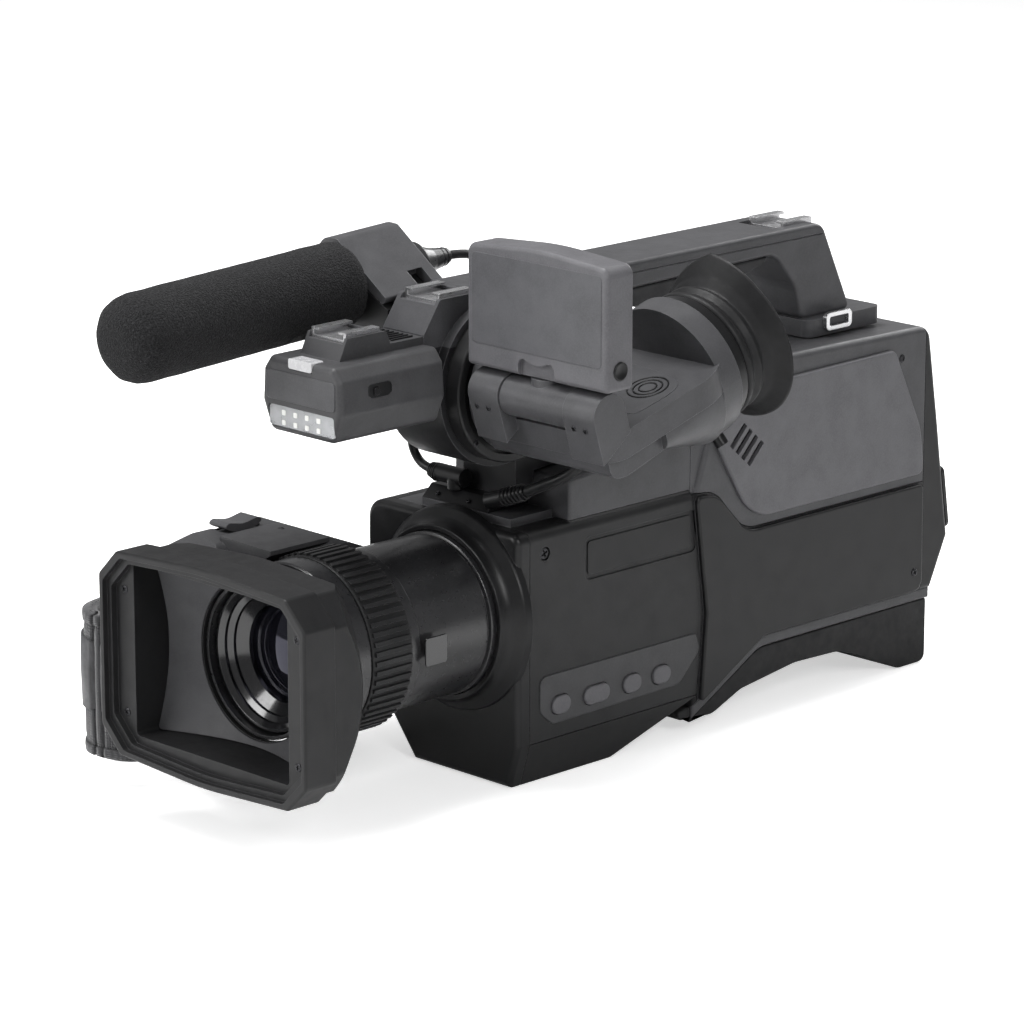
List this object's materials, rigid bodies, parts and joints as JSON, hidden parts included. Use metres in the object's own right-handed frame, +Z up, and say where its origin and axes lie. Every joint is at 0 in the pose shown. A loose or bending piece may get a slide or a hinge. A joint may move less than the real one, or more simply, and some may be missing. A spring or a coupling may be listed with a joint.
{
  "type": "shoulder camcorder",
  "caption": "Shoulder-mount camcorder with lens hood, gun microphone, video light, flip-up display, side viewfinder, carry handle, hand grip and shoulder pad.",
  "frame": {"origin": "centre of the tripod socket's mouth in the bottom plate, below the lens axis", "axes": "+Z up, lens looks towards -Y, +X is the operator's left"},
  "size_m": [0.2454, 0.4579, 0.2573],
  "materials": {
    "black_plastic": "fine grain, satin",
    "charcoal_plastic": "fine grain, satin",
    "grey_plastic": "satin",
    "gloss_plastic": "gloss",
    "rubber": "matt",
    "foam": "open-cell foam",
    "strap_fabric": "knitted padding",
    "pad_foam": "soft moulded pad",
    "bright_metal": "satin nickel",
    "black_metal": "satin black",
    "aluminium": "cast",
    "glass": "coated",
    "diffuser": "clear",
    "board": "soldered"
  },
  "bodies": {
    "camera": {"front_casing": "black_plastic", "left_front_cover": "charcoal_plastic", "left_rear_cover": "charcoal_plastic", "right_cover": "black_plastic", "top_cover": "charcoal_plastic", "bottom_plate": "charcoal_plastic", "rear_housing": "charcoal_plastic", "speaker_panel": "grey_plastic", "battery_bay": "black_plastic", "button_panel": "black_plastic", "chassis_frame": "aluminium", "circuit_boards": "board", "lens_barrel": "black_metal", "lens_front_ring": "black_plastic", "front_lens": "glass", "rear_lens_group": "glass", "hood_shell": "charcoal_plastic", "hood_baffle": "gloss_plastic", "handle": "charcoal_plastic", "handle_grip": "rubber", "strap_loops": "bright_metal", "cold_shoes": "bright_metal", "light_housing": "charcoal_plastic", "light_window": "diffuser", "light_board": "board", "tally_lamp": "gloss_plastic", "microphone": "black_metal", "windscreen": "foam", "mic_holder": "charcoal_plastic", "finder_bracket": "charcoal_plastic", "grip_housing": "charcoal_plastic", "hand_strap": "strap_fabric", "shoulder_rim": "grey_plastic", "shoulder_pad": "pad_foam", "cable_clamp": "black_plastic", "cable_plugs": "black_plastic", "mic_cable": "rubber", "light_cable": "rubber", "finder_cable": "rubber", "case_screws": "black_metal"},
    "manual_ring": {"manual_ring": "rubber"},
    "peaking_button": {"peaking_button": "grey_plastic"},
    "manual_button": {"manual_button": "grey_plastic"},
    "balance_button": {"balance_button": "grey_plastic"},
    "balance_set_button": {"balance_set_button": "grey_plastic"},
    "light_switch": {"light_switch": "black_plastic"},
    "mic_clamp": {"mic_clamp": "charcoal_plastic"},
    "viewfinder": {"finder_body": "charcoal_plastic", "eyepiece_ring": "black_plastic", "eyepiece_lens": "glass", "eyecup": "rubber"},
    "focus_lever": {"focus_lever": "black_plastic"},
    "display_hinge": {"display_hinge": "charcoal_plastic"},
    "display": {"display_panel": "grey_plastic", "display_screen": "gloss_plastic"},
    "zoom_rocker": {"zoom_rocker": "grey_plastic"},
    "record_button": {"record_button": "gloss_plastic"},
    "battery": {"battery": "black_plastic"},
    "battery_release": {"battery_release": "black_plastic"},
    "terminal_cover": {"terminal_cover": "rubber"}
  },
  "joints": [
    {"name": "manual_ring_turn", "type": "hinge", "parent": "camera", "child": "manual_ring", "pos_m": [0, -0.126, 0.078], "axis": [0, 1, 0], "continuous": true},
    {"name": "peaking_press", "type": "slide", "parent": "camera", "child": "peaking_button", "axis": [-1, 0, 0], "range_m": [0, 0.001], "stiffness_N_per_m": 300},
    {"name": "manual_press", "type": "slide", "parent": "camera", "child": "manual_button", "axis": [-1, 0, 0], "range_m": [0, 0.001], "stiffness_N_per_m": 300},
    {"name": "balance_press", "type": "slide", "parent": "camera", "child": "balance_button", "axis": [-1, 0, 0], "range_m": [0, 0.001], "stiffness_N_per_m": 300},
    {"name": "balance_set_press", "type": "slide", "parent": "camera", "child": "balance_set_button", "axis": [-1, 0, 0], "range_m": [0, 0.001], "stiffness_N_per_m": 300},
    {"name": "light_switch_slide", "type": "slide", "parent": "camera", "child": "light_switch", "axis": [0, 1, 0], "range_m": [0, 0.0045]},
    {"name": "mic_clamp_open", "type": "hinge", "parent": "camera", "child": "mic_clamp", "pos_m": [-0.0665, -0.05499, 0.2253], "axis": [0, -0.9986, -0.0523], "range_deg": [0, 95]},
    {"name": "viewfinder_tilt", "type": "hinge", "parent": "camera", "child": "viewfinder", "pos_m": [0.018, -0.038, 0.1835], "axis": [1, 0, 0], "range_deg": [-17.4, 60], "deforming": ["finder_cable"]},
    {"name": "focus_lever_turn", "type": "hinge", "parent": "viewfinder", "child": "focus_lever", "pos_m": [0.08, 0.00894, 0.19088], "axis": [0, 0.9542, 0.299], "range_deg": [-20, 20]},
    {"name": "display_fold", "type": "hinge", "parent": "viewfinder", "child": "display_hinge", "pos_m": [0.077, -0.06961, 0.18973], "axis": [1, 0, 0], "range_deg": [-72.6, 15]},
    {"name": "display_swivel", "type": "hinge", "parent": "display_hinge", "child": "display", "pos_m": [0.077, -0.06781, 0.18973], "axis": [0, 0, 1], "range_deg": [0, 180]},
    {"name": "zoom_rock", "type": "hinge", "parent": "camera", "child": "zoom_rocker", "pos_m": [-0.067, -0.122, 0.1176], "axis": [1, 0, 0], "range_deg": [-6, 6], "stiffness_Nm_per_rad": 0.05},
    {"name": "record_press", "type": "slide", "parent": "camera", "child": "record_button", "axis": [0, -1, 0], "range_m": [0, 0.001], "stiffness_N_per_m": 300},
    {"name": "battery_slide", "type": "slide", "parent": "camera", "child": "battery", "axis": [0, 1, 0], "range_m": [0, 0.045]},
    {"name": "battery_release_press", "type": "slide", "parent": "camera", "child": "battery_release", "axis": [0, -1, 0], "range_m": [0, 0.0015], "stiffness_N_per_m": 300},
    {"name": "terminal_cover_open", "type": "hinge", "parent": "camera", "child": "terminal_cover", "pos_m": [0.0385, 0.24575, 0.082], "axis": [0, -0.1521, 0.9884], "range_deg": [-110, 0]}
  ]
}
